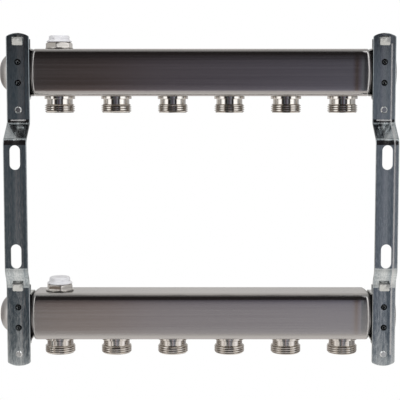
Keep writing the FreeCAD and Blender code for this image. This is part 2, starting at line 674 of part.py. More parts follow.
def add_clamp_features(body, name, height, arm):
    """Hook slot, tapped screw hole and the two pressed pips of one bracket arm."""
    through = f"{arm} + strip_thickness + {OVERCUT}"
    slot_half = "(hook_width/2 + hook_play)"
    slot_low = f"{height} + hook_top - strap_thickness - hook_play"
    slot_high = f"{height} + hook_top + hook_play"
    notch_high = f"{slot_high} + hook_relief_height"
    hook_slot = draw(body, f"{name}_hook_slot", "XZ_Plane", [
        (f"-{slot_half}", slot_low),
        (slot_half, slot_low),
        (slot_half, slot_high),
        ("hook_relief_width/2", slot_high),
        ("hook_relief_width/2", notch_high),
        ("-hook_relief_width/2", notch_high),
        ("-hook_relief_width/2", slot_high),
        (f"-{slot_half}", slot_high),
    ])
    extrude(body, "Pocket", hook_slot, through)
    screw_hole = disc(body, f"{name}_screw_hole", "screw_diameter/2 + screw_play", plane="XZ_Plane",
                      y=f"{height} - screw_drop")
    extrude(body, "Pocket", screw_hole, through)

    # Each pip is a dent on the wall side and a bump on the room side
    bump_radius = "(pip_radius^2 + pip_height^2)/(2*pip_height)"
    dent_radius = "(pip_radius^2 + pip_depth^2)/(2*pip_depth)"
    for number, way in ((1, ""), (2, "-")):
        level = f"{height} + ({way}pip_spread)"
        face = f"({arm} + strip_thickness)"
        bump = draw(body, f"{name}_bump_{number}", "YZ_Plane", [
            (f"{face} - strip_thickness/2", "0"),
            (f"{face} + pip_height", "0"),
            (face, "pip_radius", f"{face} + pip_height - {bump_radius}", "0", "left"),
            (f"{face} - strip_thickness/2", "pip_radius"),
        ], shift=level)
        revolve(body, "Revolution", bump, "H_Axis")
        dent = draw(body, f"{name}_dent_{number}", "YZ_Plane", [
            (arm, "0"),
            (f"{arm} + pip_depth", "0"),
            (arm, "pip_radius", f"{arm} + pip_depth - {dent_radius}", "0", "left"),
        ], shift=level)
        revolve(body, "Groove", dent, "H_Axis")


def make_strap(label, x, depth, height, shift):
    """Omega strap: hooked into the arm above the bar, round the neck and screwed on below it."""
    body = new_body(label)
    face = f"-{CLAMP_RADIUS}"
    back = f"({face} + strap_thickness)"
    outer = f"({CLAMP_RADIUS} + strap_thickness)"
    shoulder = f"({outer} + strap_shoulder)"
    side_view = draw(body, f"{label}_side_view", "YZ_Plane", [
        (face, "strap_upper_foot"),
        (face, CLAMP_RADIUS),
        ("0", CLAMP_RADIUS),
        ("0", f"-{CLAMP_RADIUS}", "0", "0", "right"),
        (face, f"-{CLAMP_RADIUS}"),
        (face, f"-{shoulder}"),
        (back, f"-{shoulder}"),
        (back, f"-{outer}"),
        ("0", f"-{outer}"),
        ("0", outer, "0", "0", "left"),
        (back, outer),
        (back, "strap_upper_foot"),
    ], lift=shift)
    loop = extrude(body, "Pad", side_view, "strap_width", middle=True)
    reach = measured(CLAMP_RADIUS)
    edge_place = measured(outer)
    inside = measured(back)
    concave = [(inside, edge_place), (inside, -edge_place)]
    convex = [(-reach, reach), (-reach, -reach)]
    tight = round_edges(body, f"{label}_inner_bends", loop, "strap_bend",
                        lambda edge: along_x_at(edge, concave))
    round_edges(body, f"{label}_outer_bends", tight, "strap_bend + strap_thickness",
                lambda edge: along_x_at(edge, convex))

    # Hook that passes through the arm and folds down on its wall side, its tip against the strip
    fold = f"({face} - strip_thickness - hook_stand)"
    tip = f"({face} - strip_thickness - hook_play)"
    hook = draw(body, f"{label}_hook", "YZ_Plane", [
        (back, "strap_upper_foot"),
        (back, "hook_top"),
        (f"{fold} - strap_thickness", "hook_top"),
        (f"{tip} - strap_thickness", "hook_tip"),
        (tip, "hook_tip"),
        (fold, "hook_top - strap_thickness"),
        (face, "hook_top - strap_thickness"),
        (face, "strap_upper_foot"),
    ])
    folded = extrude(body, "Pad", hook, "hook_width", middle=True)
    fold_spots = [(measured(f"{fold} - strap_thickness"), measured("hook_top"))]
    smooth = round_edges(body, f"{label}_hook_fold", folded, "hook_fold",
                         lambda edge: along_x_at(edge, fold_spots))
    half_hook = measured("hook_width/2")
    round_edges(body, f"{label}_hook_corners", smooth, "hook_corner",
                lambda edge: across_at(edge, half_hook, [measured("hook_tip")]))

    # Lower foot, narrowed to the screw and rounded at its tip
    half_foot = "strap_foot_width/2"
    tip_level = f"-(strap_lower_foot - {half_foot})"
    foot = draw(body, f"{label}_foot", "XZ_Plane", [
        (f"{shift} + strap_width/2", f"-{shoulder}"),
        (f"{shift} - strap_width/2", f"-{shoulder}"),
        (f"-{half_foot}", f"-{shoulder} - strap_taper"),
        (f"-{half_foot}", tip_level),
        (half_foot, tip_level, "0", tip_level, "left"),
        (half_foot, f"-{shoulder} - strap_taper"),
    ], lift=CLAMP_RADIUS)
    extrude(body, "Pad", foot, "strap_thickness", backwards=True)
    hole = disc(body, f"{label}_hole", "screw_diameter/2 + screw_hole_play", plane="XZ_Plane",
                lift=CLAMP_RADIUS, y="-screw_drop")
    extrude(body, "Pocket", hole, f"strap_thickness + {OVERCUT}")
    place(body, x, depth, height)
    return body


def make_liner(label, x, depth, height):
    """Rubber ring between a neck and its clamp."""
    body = new_body(label)
    inner = "neck_diameter/2 + liner_fit"
    ring = draw(body, f"{label}_section", "XY_Plane", rectangle(
        "-strap_width/2", "strap_width/2", inner, f"{inner} + liner_thickness"))
    revolve(body, "Revolution", ring, "H_Axis")
    place(body, x, depth, height)
    return body


def make_screw(name, x, depth, height):
    """Pan-head clamp screw, turned about its own axis and laid along +Y with its head to the room."""
    body = doc.addObject("PartDesign::Body", name)
    length = "(strap_thickness + strip_thickness + screw_tip_length)"
    head = "screw_head_diameter/2"
    shank = "screw_diameter/2"
    dome = "screw_head_height/2"
    profile = draw(body, f"{name}_profile", "XZ_Plane", [
        ("0", f"-{length}"),
        (f"{shank} - screw_tip_length", f"-{length}"),
        (shank, f"-{length} + screw_tip_length"),
        (shank, "0"),
        (head, "0"),
        (head, f"screw_head_height - {dome}"),
        (f"{head} - {dome}", "screw_head_height", f"{head} - {dome}", f"screw_head_height - {dome}", "left"),
        ("0", "screw_head_height"),
    ])
    revolve(body, "Revolution", profile)

    # Cross recess
    arm = "screw_recess_length/2"
    half = "screw_recess_width/2"
    for way, spans in (("across", (arm, half)), ("along", (half, arm))):
        recess = draw(body, f"{name}_recess_{way}", "XY_Plane", rectangle(
            f"-{spans[0]}", spans[0], f"-{spans[1]}", spans[1]), lift="screw_head_height")
        extrude(body, "Pocket", recess, "screw_recess_depth")
    body.Placement = FreeCAD.Placement(FreeCAD.Vector(), FreeCAD.Rotation(FreeCAD.Vector(1, 0, 0), -90))
    place(body, x, f"{depth} - {CLAMP_RADIUS} + strap_thickness", f"{height} - screw_drop")
    return body


pieces = []
screws = []
vent_place = f"{-(OUTLETS - 1) / 2}*outlet_pitch"
for level, height, depth in BARS:
    pieces.append(make_bar(level, height, depth))
    for number in range(1, OUTLETS + 1):
        pieces.append(make_outlet(level, number, height, depth))
        outlet_place = f"{number - (OUTLETS + 1) / 2}*outlet_pitch"
        pieces.append(make_seal(f"{level}_outlet_seal_{number}", outlet_place, depth,
                                f"{height} - bar_width/2", "-seal_thickness"))
    bar_top = f"{height} + bar_width/2"
    pieces.append(make_vent_body(level, vent_place, depth, bar_top))
    pieces.append(make_seal(f"{level}_vent_seal", vent_place, depth, bar_top, "0"))
    pieces.append(make_vent_stem(level, vent_place, depth, bar_top))
    pieces.append(make_stem_ring(level, vent_place, depth, bar_top))
    pieces.append(make_knob(level, vent_place, depth, bar_top))
    for side, sign in SIDES:
        spot = f"{sign}{BRACKET_PLACE}"
        shift = f"(-({sign}strap_set))"
        pieces.append(make_strap(f"{level}_{side}_clamp_strap", spot, depth, height, shift))
        pieces.append(make_liner(f"{level}_{side}_clamp_liner", f"{spot} + {shift}", depth, height))
        screws.append(make_screw(f"{level}_{side}_clamp_screw", spot, depth, height))
for side, sign in SIDES:
    pieces.append(make_bracket(side, sign))

clamp_screws = doc.addObject("Part::Compound", "clamp_screws")
clamp_screws.Label = "clamp_screws"
clamp_screws.Links = screws
pieces.append(clamp_screws)
doc.recompute()

# Nothing is written unless every feature came out whole
for item in doc.Objects:
    if "Invalid" in item.State or "Error" in item.State:
        raise RuntimeError(f"{item.Label} failed: {item.State}")
for piece in pieces:
    if piece.Shape.isNull() or not piece.Shape.isValid() or piece.Shape.Volume <= 0:
        raise RuntimeError(f"{piece.Label} has no sound shape")

os.makedirs("parts", exist_ok=True)
for piece in pieces:
    piece.Shape.exportStep(f"parts/{piece.Label}.step")
print(len(pieces), "sub-parts written")
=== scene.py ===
# %% [markdown]
# # A wall-mounted heating manifold
# Two square stainless bars share the water of a floor heating between six pipes each. Each bar has six
# nickel-plated outlets screwed into its underside and a manual air vent on top. Two cranked strips of
# zinc-plated steel hold the bars off the wall. We look at the side that goes to the wall.
# The solids come from CAD, so this lesson only adds what CAD leaves out: finishes, cut threads, the roots of
# the clamps' hooks, and light.

# %% Load the solids
import json
import math

import bmesh
import bpy
from mathutils import Matrix, Vector


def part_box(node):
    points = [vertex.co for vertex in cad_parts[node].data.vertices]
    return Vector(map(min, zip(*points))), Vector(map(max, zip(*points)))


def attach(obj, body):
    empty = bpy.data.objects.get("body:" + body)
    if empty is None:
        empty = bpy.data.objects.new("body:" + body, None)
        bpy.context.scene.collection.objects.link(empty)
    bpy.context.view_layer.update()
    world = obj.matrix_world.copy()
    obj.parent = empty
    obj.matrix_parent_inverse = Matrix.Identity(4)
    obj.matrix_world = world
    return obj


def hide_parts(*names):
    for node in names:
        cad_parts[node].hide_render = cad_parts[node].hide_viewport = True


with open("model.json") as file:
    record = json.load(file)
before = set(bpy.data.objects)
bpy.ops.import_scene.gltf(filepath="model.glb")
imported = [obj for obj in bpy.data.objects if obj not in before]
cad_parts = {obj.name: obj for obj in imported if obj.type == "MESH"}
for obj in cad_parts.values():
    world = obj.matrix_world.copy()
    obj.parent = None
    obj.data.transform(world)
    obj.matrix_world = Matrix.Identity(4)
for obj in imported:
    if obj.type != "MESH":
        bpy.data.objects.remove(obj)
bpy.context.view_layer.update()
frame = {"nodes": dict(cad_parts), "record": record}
nodes = frame["nodes"]
MM = 0.001
print(len(nodes), "solids loaded")

# %% [markdown]
# ## Colours and nodes
# Colours are written as sRGB hex values, as a paint program shows them, and turned to linear light here.
# Every material below is built with one helper that adds a node, sets it up and fills its inputs. Two more
# start a material and feed the results to its shader.

# %% Colour and node helpers
# Colour sockets of a Mix node, by number because their names occur more than once.
MIX_FIRST, MIX_SECOND, MIX_RESULT = 6, 7, 2


def colour(code):
    """Linear colour of an sRGB hex value."""
    parts = [int(code[at:at + 2], 16) / 255 for at in (1, 3, 5)]
    linear = [part / 12.92 if part <= 0.04045 else ((part + 0.055) / 1.055) ** 2.4 for part in parts]
    return (*linear, 1.0)


def add_node(tree, kind, stops=(), links=None, **settings):
    """Add a shader node: settings are its own properties, links fill its inputs with values or sockets."""
    node = tree.nodes.new("ShaderNode" + kind)
    for name, value in settings.items():
        setattr(node, name, value)
    for name, value in (links or {}).items():
        if isinstance(value, bpy.types.NodeSocket):
            tree.links.new(value, node.inputs[name])
        else:
            node.inputs[name].default_value = value
    for number, (place, shade) in enumerate(stops):
        ramp = node.color_ramp.elements
        # A new ramp already has two stops.
        element = ramp[number] if number < 2 else ramp.new(place)
        element.position = place
        element.color = shade
    return node


def new_material(name, **constants):
    """Material with a Principled shader whose constant inputs, with _ for a space, are set directly."""
    material = bpy.data.materials.new(name)
    material.use_nodes = True
    shader = material.node_tree.nodes["Principled BSDF"]
    for socket, value in constants.items():
        shader.inputs[socket.replace("_", " ")].default_value = value
    return material, material.node_tree, shader


def feed(tree, shader, **sources):
    """Link node outputs to the shader's inputs, with _ for a space."""
    for socket, source in sources.items():
        tree.links.new(source, shader.inputs[socket.replace("_", " ")])


WHITE = colour("#ffffff")
print("hex 80 is", round(colour("#808080")[0], 3), "in linear light")

# %% [markdown]
# ## Satin stainless steel
# The bars are pressed from stainless sheet and brushed along their length. Brushing spreads a reflection
# across the grooves, so the bar blurs the room up and down but keeps it fairly sharp from end to end.
# An anisotropic shader does that with a tangent that runs round the bar. Pressing leaves each flat side a
# seventh of a millimetre fuller in the middle, with most of the fall near the corners, and raises a soft bead
# beside the open end. Those are too slight to model, so a bump leans the mirror as they would. The drawn
# shoulders at both ends aren't brushed, so they are duller.

# %% Shallow forms of the pressed bar
UPPER_AXIS = {"Y": 44.1 * MM, "Z": 113.5 * MM}
LOWER_AXIS = {"Y": 29.1 * MM, "Z": -98.5 * MM}
BETWEEN_BARS = 1.0 * MM
FLAT_HALF = 15.0 * MM
CROWN, CROWN_POWER = 0.14 * MM, 6.3
BEAD_FOOT, BEAD_END, BEAD_HALF = 131.0 * MM, 147.0 * MM, 0.28 * MM


def pressed_height(tree, place):
    """Height of the crowned sides and of the end bead, in metres, from Object coordinates."""
    spot = add_node(tree, "SeparateXYZ", links={"Vector": place})
    total = 0.0
    for letter in "YZ":
        axis = add_node(tree, "MapRange", links={
            "Value": spot.outputs["Z"], "From Min": -BETWEEN_BARS, "From Max": BETWEEN_BARS,
            "To Min": LOWER_AXIS[letter], "To Max": UPPER_AXIS[letter]})
        off = add_node(tree, "Math", operation="SUBTRACT", links={
            0: spot.outputs[letter], 1: axis.outputs["Result"]})
        part = add_node(tree, "Math", operation="DIVIDE", links={0: off.outputs["Value"], 1: FLAT_HALF})
        size = add_node(tree, "Math", operation="ABSOLUTE", links={0: part.outputs["Value"]})
        steep = add_node(tree, "Math", operation="POWER", links={0: size.outputs["Value"], 1: CROWN_POWER})
        total = add_node(tree, "Math", operation="MULTIPLY_ADD", links={
            0: steep.outputs["Value"], 1: -CROWN, 2: total}).outputs["Value"]
    # One sine wave from trough to trough is the bead.
    phase = add_node(tree, "MapRange", links={
        "Value": spot.outputs["X"], "From Min": BEAD_FOOT, "From Max": BEAD_END,
        "To Min": -math.pi / 2, "To Max": 1.5 * math.pi})
    bead = add_node(tree, "Math", operation="SINE", links={0: phase.outputs["Result"]})
    return add_node(tree, "Math", operation="MULTIPLY_ADD", links={
        0: bead.outputs["Value"], 1: BEAD_HALF, 2: total}).outputs["Value"]


print("crown", round(CROWN / MM, 2), "mm, bead", round(2 * BEAD_HALF / MM, 2), "mm high")

# %% Stainless steel
# Most of a noise texture lies between these two values.
NOISE_LOW, NOISE_HIGH = 0.3, 0.7
BRUSHED_HALF, DRAWN_HALF = 144.0 * MM, 146.0 * MM
DRAWN_ROUGHNESS = 0.24
BRUSH_STRETCH = (0.003, 1.0, 1.0)


def make_stainless():
    """Warm grey steel, softly mirrored, with faint lengthwise brushing and matt drawn ends."""
    material, tree, shader = new_material("satin_stainless_steel", Metallic=1.0, Anisotropic=0.8)
    place = add_node(tree, "TexCoord").outputs["Object"]
    # Real brush lines are finer than a tenth of a millimetre: these are drawn coarser, so that they show.
    line_mm, line_depth_mm = 0.6, 0.003
    smooth, dull = 0.14, 0.19
    stretched = add_node(tree, "Mapping", links={"Vector": place, "Scale": BRUSH_STRETCH})
    lines = add_node(tree, "TexNoise", links={
        "Vector": stretched.outputs["Vector"], "Scale": 1 / (line_mm * MM), "Detail": 2.0})
    tone = add_node(tree, "ValToRGB", links={"Fac": lines.outputs["Fac"]},
                    stops=((NOISE_LOW, colour("#bdbab8")), (NOISE_HIGH, colour("#c4c2c1"))))
    rough = add_node(tree, "MapRange", links={
        "Value": lines.outputs["Fac"], "From Min": NOISE_LOW, "From Max": NOISE_HIGH,
        "To Min": smooth, "To Max": dull})
    spot = add_node(tree, "SeparateXYZ", links={"Vector": place})
    aside = add_node(tree, "Math", operation="ABSOLUTE", links={0: spot.outputs["X"]})
    drawn_end = add_node(tree, "MapRange", links={
        "Value": aside.outputs["Value"], "From Min": BRUSHED_HALF, "From Max": DRAWN_HALF,
        "To Max": DRAWN_ROUGHNESS})
    matt = add_node(tree, "Math", operation="ADD", links={
        0: rough.outputs["Result"], 1: drawn_end.outputs["Result"]})
    pressed = add_node(tree, "Bump", links={
        "Height": pressed_height(tree, place), "Strength": 1.0, "Distance": 1.0})
    relief = add_node(tree, "Bump", links={
        "Height": lines.outputs["Fac"], "Strength": 1.0, "Distance": line_depth_mm * MM,
        "Normal": pressed.outputs["Normal"]})
    round_bar = add_node(tree, "Tangent", direction_type="RADIAL", axis="X")
    feed(tree, shader, Base_Color=tone.outputs["Color"], Roughness=matt.outputs["Value"],
         Normal=relief.outputs["Normal"], Tangent=round_bar.outputs["Tangent"])
    return material


stainless = make_stainless()
print("made", stainless.name)

# %% [markdown]
# ## Nickel plate on turned brass
# Outlets and vents are turned from brass and nickel-plated. The plate is bright and a little yellow, and
# the lathe leaves rings that break a reflection into short dashes. The thread grooves get painted shade,
# darker towards the roots: the outlets carry a value for that, called groove. The hexagons of the
# vents have worn corners. A bevel in the mesh would change the solid, so the shader rounds them.

# %% Nickel plate
RING_STRETCH = (0.05, 0.05, 1.0)
BEVEL_SAMPLES = 6


def make_nickel(name, edge_mm=0.0):
    """Bright warm metal with turning rings round the vertical axis, painted shade in thread grooves, with
    rounded corners.
    """
    material, tree, shader = new_material(name, Metallic=1.0)
    place = add_node(tree, "TexCoord").outputs["Object"]
    # Real turning rings lie about a tenth of a millimetre apart: these are drawn wider, so that they show.
    ring_mm, ring_depth_mm = 0.35, 0.002
    smooth, dull = 0.05, 0.1
    flattened = add_node(tree, "Mapping", links={"Vector": place, "Scale": RING_STRETCH})
    rings = add_node(tree, "TexNoise", links={
        "Vector": flattened.outputs["Vector"], "Scale": 1 / (ring_mm * MM), "Detail": 1.0})
    tone = add_node(tree, "ValToRGB", links={"Fac": rings.outputs["Fac"]},
                    stops=((NOISE_LOW, colour("#d8d3cc")), (NOISE_HIGH, colour("#e2deda"))))
    groove = add_node(tree, "Attribute", attribute_name="groove")
    # Painted shade: the thread roots are mixed towards a darker colour by their depth.
    painted_shade_tone = add_node(tree, "Mix", data_type="RGBA", links={
        "Factor": groove.outputs["Fac"], MIX_FIRST: tone.outputs["Color"], MIX_SECOND: colour("#b4ada4")})
    rough = add_node(tree, "MapRange", links={
        "Value": rings.outputs["Fac"], "From Min": NOISE_LOW, "From Max": NOISE_HIGH,
        "To Min": smooth, "To Max": dull})
    relief = add_node(tree, "Bump", links={
        "Height": rings.outputs["Fac"], "Strength": 1.0, "Distance": ring_depth_mm * MM})
    if edge_mm:
        rounded = add_node(tree, "Bevel", samples=BEVEL_SAMPLES, links={"Radius": edge_mm * MM})
        tree.links.new(rounded.outputs["Normal"], relief.inputs["Normal"])
    feed(tree, shader, Base_Color=painted_shade_tone.outputs[MIX_RESULT], Roughness=rough.outputs["Result"],
         Normal=relief.outputs["Normal"])
    return material


nickel = make_nickel("nickel_plated_brass")
worn_nickel = make_nickel("worn_nickel_plate", edge_mm=1.7)
print("made", nickel.name, "and", worn_nickel.name)

# %% [markdown]
# ## Painted highlight lines
# Bright lines are painted on the zinc as highlights: a short level line above each upper bend, and a long
# one down the right bracket. Each is a narrow field of white, rougher plate, given by its middle and half
# width along X and Z.

# %% Painted highlight lines
HIGHLIGHT_FADE_MM = 0.3
# Painted highlights: middle and half width along X and Z in mm, and how strongly each line is painted.
PAINTED_HIGHLIGHT_LINES_MM = ({"X": (-158.75, 6.6), "Z": (73.7, 0.6), "share": 1.0},
                   {"X": (158.75, 6.6), "Z": (73.7, 0.6), "share": 1.0},
                   {"X": (164.9, 0.6), "Z": (5.0, 135.0), "share": 0.8})


def paint_highlight_lines(tree, spot):
    """Share of painted highlight at a point: 0 on plain plate, up to 1 in a line."""
    total = 0.0
    for line in PAINTED_HIGHLIGHT_LINES_MM:
        share = line["share"]
        for letter in "XZ":
            middle, half = line[letter]
            off = add_node(tree, "Math", operation="SUBTRACT", links={
                0: spot.outputs[letter], 1: middle * MM})
            size = add_node(tree, "Math", operation="ABSOLUTE", links={0: off.outputs["Value"]})
            inside = add_node(tree, "MapRange", links={
                "Value": size.outputs["Value"], "From Min": (half - HIGHLIGHT_FADE_MM) * MM,
                "From Max": (half + HIGHLIGHT_FADE_MM) * MM, "To Min": 1.0, "To Max": 0.0})
            share = add_node(tree, "Math", operation="MULTIPLY", links={
                0: inside.outputs["Result"], 1: share}).outputs["Value"]
        total = add_node(tree, "Math", operation="ADD", links={0: share, 1: total}).outputs["Value"]
    return total


# Number of painted highlight lines.
print(len(PAINTED_HIGHLIGHT_LINES_MM), "rubbed lines set")

# %% [markdown]
# ## Zinc plate
# Brackets are cut from rolled steel strip and zinc-plated to a bluish shine. Rolling leaves long shallow
# waves along the strip. They are too flat to feel, but each one leans the mirror a few degrees, so the strip
# shows upright streaks of dark and light. The brackets also stand a little turned outwards in their clamps,
# and a bump leans their mirror by as much. The pressed dents and other closed-in spots get painted shade,
# which the shader finds by how closed in a point is, and a few bright lines are painted highlights.
# The straps and screws have a lighter, duller plate.

# %% Painted shade in hollows and lean of the strip
# Painted shade: its colour, the samples it takes, and how fast it fades out of the hollows.
PAINTED_SHADE, SHADE_SAMPLES, SHADE_FADE = "#202326", 8, 0.22
DENT_MM = 3.3


def paint_shade_in_hollows(tree, tone, shade_from):
    """Paint shade into a colour where a point is closed in, as in a pressed dent."""
    open_sky = add_node(tree, "AmbientOcclusion", samples=SHADE_SAMPLES, only_local=True,
                        links={"Distance": DENT_MM * MM})
    bare = add_node(tree, "MapRange", links={
        "Value": open_sky.outputs["AO"], "From Min": shade_from, "From Max": shade_from + SHADE_FADE})
    return add_node(tree, "Mix", data_type="RGBA", links={
        "Factor": bare.outputs["Result"], MIX_FIRST: colour(PAINTED_SHADE), MIX_SECOND: tone}).outputs[MIX_RESULT]


def lean_mirror(tree, spot, waves, wave_depth_mm, outward):
    """Normal of a strip with rolling waves that stands turned outwards by an angle."""
    aside = add_node(tree, "Math", operation="ABSOLUTE", links={0: spot.outputs["X"]})
    wave = add_node(tree, "Math", operation="MULTIPLY", links={0: waves, 1: wave_depth_mm * MM})
    height = add_node(tree, "Math", operation="MULTIPLY_ADD", links={
        0: aside.outputs["Value"], 1: -math.tan(outward), 2: wave.outputs["Value"]})
    return add_node(tree, "Bump", links={
        "Height": height.outputs["Value"], "Strength": 1.0, "Distance": 1.0}).outputs["Normal"]


print("hollows are looked for within", DENT_MM, "mm")

# %% Zinc plate
WAVE_STRETCH, CRYSTAL_STRETCH = (1.0, 0.03, 0.015), (1.0, 1.0, 0.22)
CRYSTAL_SHARE = 0.5
BLEND_LOW, BLEND_HIGH = 0.6, 0.9
HIGHLIGHT_ROUGHNESS = 0.5


def make_zinc(name, tones, roughness, wave_depth_mm, shade_from, outward=0.0):
    """Blue-grey metal with upright rolling waves, a crystalline mottle, painted shade in hollows and painted
    highlight lines.
    """
    material, tree, shader = new_material(name, Metallic=1.0)
    place = add_node(tree, "TexCoord").outputs["Object"]
    spot = add_node(tree, "SeparateXYZ", links={"Vector": place})
    # Real zinc crystals are too fine to see: the mottle is drawn coarser, so that it shows.
    wave_mm, crystal_mm, crystal_depth_mm = 7.0, 1.2, 0.035
    dark, light = tones
    smooth, dull = roughness
    upright = add_node(tree, "Mapping", links={"Vector": place, "Scale": WAVE_STRETCH})
    waves = add_node(tree, "TexNoise", links={
        "Vector": upright.outputs["Vector"], "Scale": 1 / (wave_mm * MM), "Detail": 3.0})
    drawn_out = add_node(tree, "Mapping", links={"Vector": place, "Scale": CRYSTAL_STRETCH})
    crystals = add_node(tree, "TexNoise", links={
        "Vector": drawn_out.outputs["Vector"], "Scale": 1 / (crystal_mm * MM), "Detail": 4.0})
    blend = add_node(tree, "Math", operation="MULTIPLY_ADD", links={
        0: crystals.outputs["Fac"], 1: CRYSTAL_SHARE, 2: waves.outputs["Fac"]})
    tone = add_node(tree, "ValToRGB", links={"Fac": blend.outputs["Value"]},
                    stops=((BLEND_LOW, colour(dark)), (BLEND_HIGH, colour(light))))
    rough = add_node(tree, "MapRange", links={
        "Value": blend.outputs["Value"], "From Min": BLEND_LOW, "From Max": BLEND_HIGH,
        "To Min": smooth, "To Max": dull})
    # Painted shade in closed-in spots such as the pressed dents.
    painted_shade_tone = paint_shade_in_hollows(tree, tone.outputs["Color"], shade_from)
    # Painted highlight: bright white lines of rougher plate.
    painted_highlight = paint_highlight_lines(tree, spot)
    bright = add_node(tree, "Mix", data_type="RGBA", links={
        "Factor": painted_highlight, MIX_FIRST: painted_shade_tone, MIX_SECOND: WHITE})
    matt = add_node(tree, "Math", operation="MULTIPLY_ADD", links={
        0: painted_highlight, 1: HIGHLIGHT_ROUGHNESS, 2: rough.outputs["Result"]})
    relief = add_node(tree, "Bump", links={
        "Height": crystals.outputs["Fac"], "Strength": 1.0, "Distance": crystal_depth_mm * MM,
        "Normal": lean_mirror(tree, spot, waves.outputs["Fac"], wave_depth_mm, outward)})
    feed(tree, shader, Base_Color=bright.outputs[MIX_RESULT], Roughness=matt.outputs["Value"],
         Normal=relief.outputs["Normal"])
    return material


zinc = make_zinc("blue_bright_zinc_plate", ("#9ea7ac", "#dde2e3"), (0.08, 0.2),
                 wave_depth_mm=0.22, shade_from=0.75, outward=math.radians(1.7))
strap_zinc = make_zinc("satin_zinc_plate", ("#dfe2e1", "#f0f1ee"), (0.38, 0.54),
                       wave_depth_mm=0.2, shade_from=0.3)
screw_zinc = make_zinc("bright_zinc_plate", ("#cfd2d3", "#e6e8e8"), (0.12, 0.22),
                       wave_depth_mm=0.1, shade_from=0.5)
print("made", zinc.name, "and", strap_zinc.name, "and", screw_zinc.name)

# %% [markdown]
# ## White plastic and black rubber
# The vent knobs are moulded from white nylon: smooth, with a soft gloss and a trace of how the plastic
# flowed. Seals, liners and stem rings are black rubber, almost without shine, with fine dust on it.

# %% Plastic and rubber
def make_plastic():
    """White nylon with a soft gloss and a barely visible flow mottle."""
    material, tree, shader = new_material("white_nylon", Roughness=0.34, IOR=1.53)
    place = add_node(tree, "TexCoord").outputs["Object"]
    flow_mm = 4.0
    flow = add_node(tree, "TexNoise", links={
        "Vector": place, "Scale": 1 / (flow_mm * MM), "Detail": 2.0})
    tone = add_node(tree, "ValToRGB", links={"Fac": flow.outputs["Fac"]},
                    stops=((NOISE_LOW, colour("#f0f0f4")), (NOISE_HIGH, colour("#f7f7fa"))))
    feed(tree, shader, Base_Color=tone.outputs["Color"])
    return material


def make_rubber():
    """Black rubber with a dusty matt skin."""
    material, tree, shader = new_material("black_rubber", IOR=1.52)
    place = add_node(tree, "TexCoord").outputs["Object"]
    # Real dust is finer: these specks are drawn coarser, so that they show.
    dust_mm = 0.8
    clean, dusty = 0.35, 0.75
    smooth, dull = 0.55, 0.8
    dust = add_node(tree, "TexNoise", links={
        "Vector": place, "Scale": 1 / (dust_mm * MM), "Detail": 3.0})
    tone = add_node(tree, "ValToRGB", links={"Fac": dust.outputs["Fac"]},
                    stops=((clean, colour("#141414")), (dusty, colour("#222222"))))
    rough = add_node(tree, "MapRange", links={
        "Value": dust.outputs["Fac"], "From Min": NOISE_LOW, "From Max": NOISE_HIGH,
        "To Min": smooth, "To Max": dull})
    feed(tree, shader, Base_Color=tone.outputs["Color"], Roughness=rough.outputs["Result"])
    return material


plastic = make_plastic()
rubber = make_rubber()
print("made", plastic.name, "and", rubber.name)

# %% [markdown]
# ## Dress the solids
# The record names a finish for every solid. Each finish gets the material made above, and a few solids get
# one of their own. The meshes are left as CAD made them.

# %% Give every solid its finish
FINISHES = {"stainless": stainless, "nickel": nickel, "zinc": zinc, "strap_zinc": strap_zinc,
            "rubber": rubber, "white_plastic": plastic}
OWN_FINISH = {"clamp_screws": screw_zinc, "upper_vent_body": worn_nickel, "lower_vent_body": worn_nickel}
for entry in frame["record"]["subparts"]:
    mesh = nodes[entry["node"]].data
    mesh.materials.clear()
    mesh.materials.append(OWN_FINISH.get(entry["node"], FINISHES[entry["material_slot"]]))

# %% [markdown]
# ## A new skin in the place of a solid
# Some solids are plainer than the real piece. A finer mesh then takes the solid's place in the picture, while
# the solid stays for collisions, hidden. One helper turns a finished bmesh into such a piece: smooth apart
# from its sharp edges, on the fixed body, and standing for its solid.

# %% Helpers for new pieces
SHARP_ANGLE = math.radians(35)


def only(kind, items):
    """The items of one bmesh type."""
    return [item for item in items if isinstance(item, kind)]


def place_in_scene(name, data):
    """Object for a mesh, a lamp or a camera, linked to the scene."""
    item = bpy.data.objects.new(name, data)
    bpy.context.scene.collection.objects.link(item)
    return item


def stand_in(bm, node, name, material):
    """Turn a bmesh into a piece of the fixed body that is shown in the place of a solid."""
    mesh = bpy.data.meshes.new(name)
    bm.to_mesh(mesh)
    bm.free()
    for face in mesh.polygons:
        face.use_smooth = True
    mesh.set_sharp_from_angle(angle=SHARP_ANGLE)
    mesh.materials.append(material)
    piece = place_in_scene(name, mesh)
    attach(piece, "manifold")
    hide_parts(node)
    return piece


print("edges stay sharp from", round(math.degrees(SHARP_ANGLE)), "degrees")

# %% [markdown]
# ## Outlets with a cut thread
# Each outlet is a turned nipple with a G3/4 pipe thread: 14 turns to the inch, so 1.814 mm from crest to
# crest. CAD keeps the thread as a plain cylinder. Here one tooth is drawn as a few points and spun with a
# lift, which gives a true right-hand screw. Two cuts level its ends, and the rest of the turned shape is
# extruded ring by ring from those cuts, so the whole nipple is one closed skin.

# %% Thread tooth and turned outline, in millimetres from the seat on the bar
PITCH = 25.4 / 14
CREST, TOOTH_DEPTH = 13.22, 0.72 * PITCH
ROOT = CREST - TOOTH_DEPTH
# Share of the pitch and share of the depth at each point of a tooth.
TOOTH = ((0.0, 0.0), (0.06, 0.02), (0.11, 0.14), (0.22, 0.86), (0.28, 0.98), (0.5, 1.0),
         (0.72, 0.98), (0.78, 0.86), (0.89, 0.14), (0.94, 0.02), (1.0, 0.0))
STEPS = 56
THREAD_TOP, THREAD_END, LEAD = -7.0, -14.5, 1.2
BORE, SPIGOT_TOP = 7.5, 7.5
